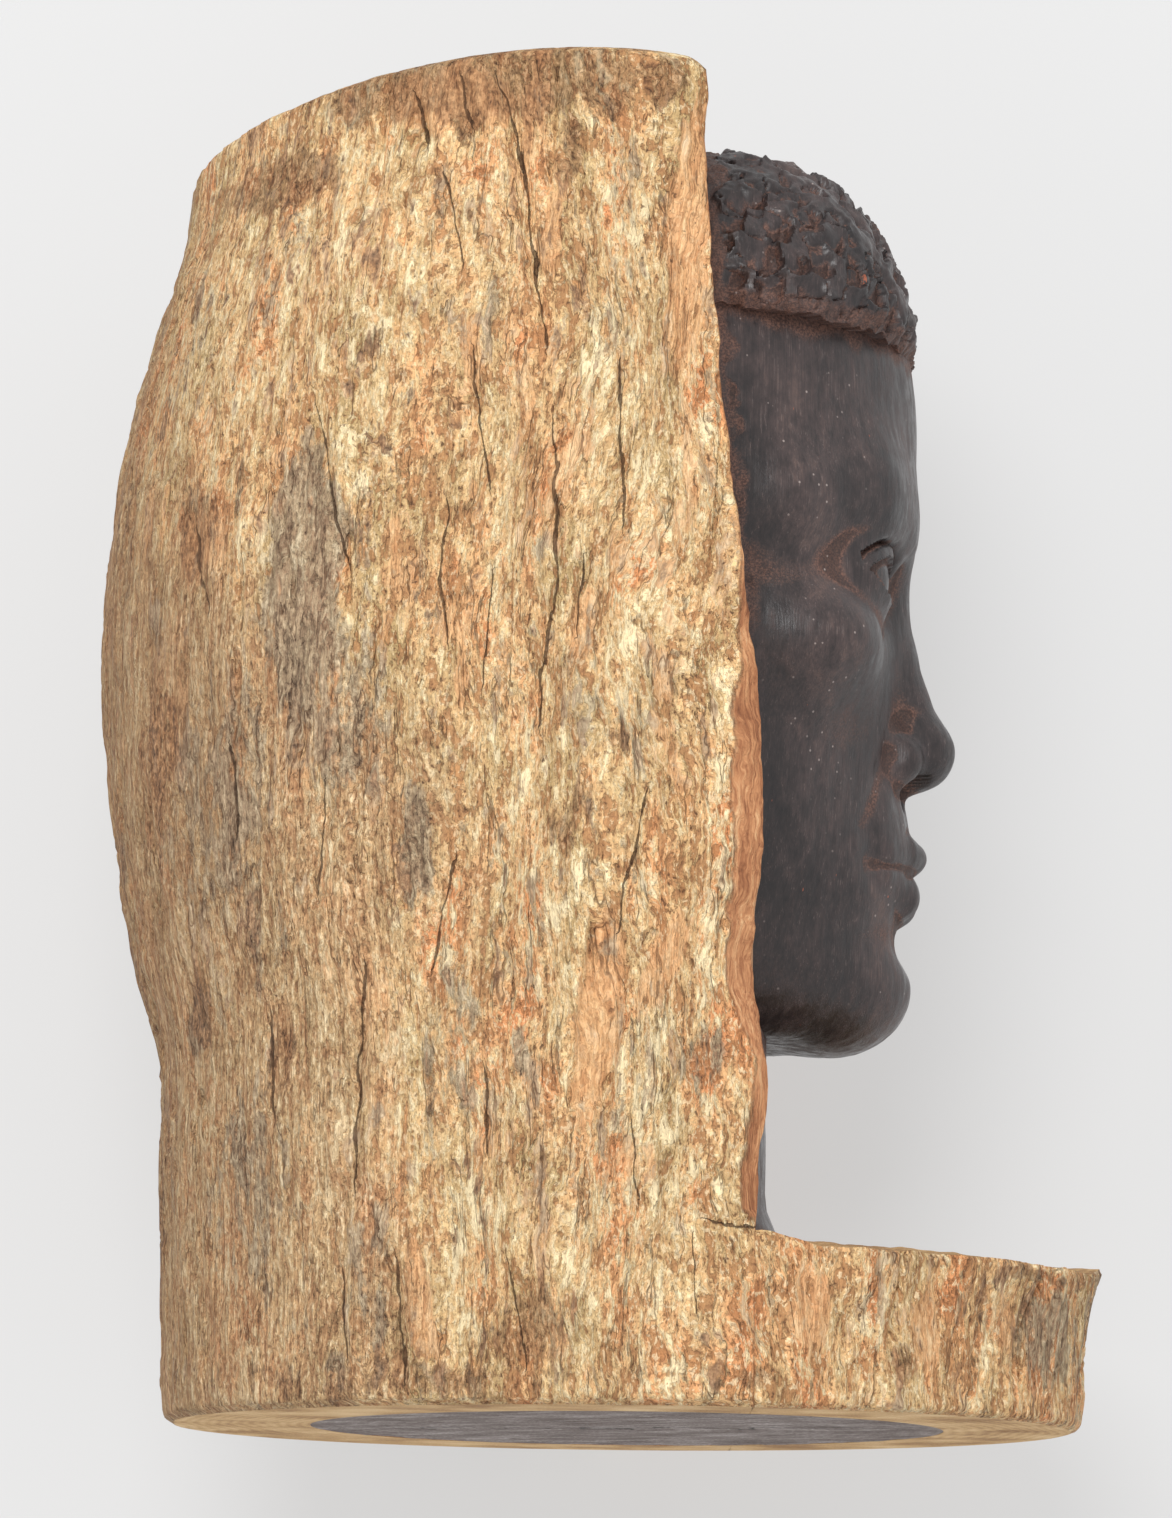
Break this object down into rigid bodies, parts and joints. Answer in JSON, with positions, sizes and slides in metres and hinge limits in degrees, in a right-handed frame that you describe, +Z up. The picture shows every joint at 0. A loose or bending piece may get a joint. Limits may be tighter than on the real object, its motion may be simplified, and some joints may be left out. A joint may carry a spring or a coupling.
{
  "type": "carved log head",
  "caption": "Dark head with cropped curls carved half out of an upright log, left standing in its pale weathered sapwood with a low foot under the chin.",
  "frame": {"origin": "on the flat base, in the middle of the box around the part", "axes": "+Z up along the log, +X the way the face looks, +Y to the face's left"},
  "size_m": [0.1933, 0.1666, 0.2518],
  "materials": {
    "sapwood": "raw, fibrous and weathered, with orange and grey patches and dark drying cracks",
    "heartwood": "sawn, dry and greyed",
    "carved_heartwood": "smooth satin near-black, with reddish brown dust in the recesses"
  },
  "bodies": {
    "root": {"sapwood_shell": "sapwood", "foot_rim": "sapwood", "heartwood_core": "heartwood", "foot_core": "heartwood", "neck": "carved_heartwood", "carved_face": "carved_heartwood", "hair_cap": "carved_heartwood"}
  },
  "joints": []
}
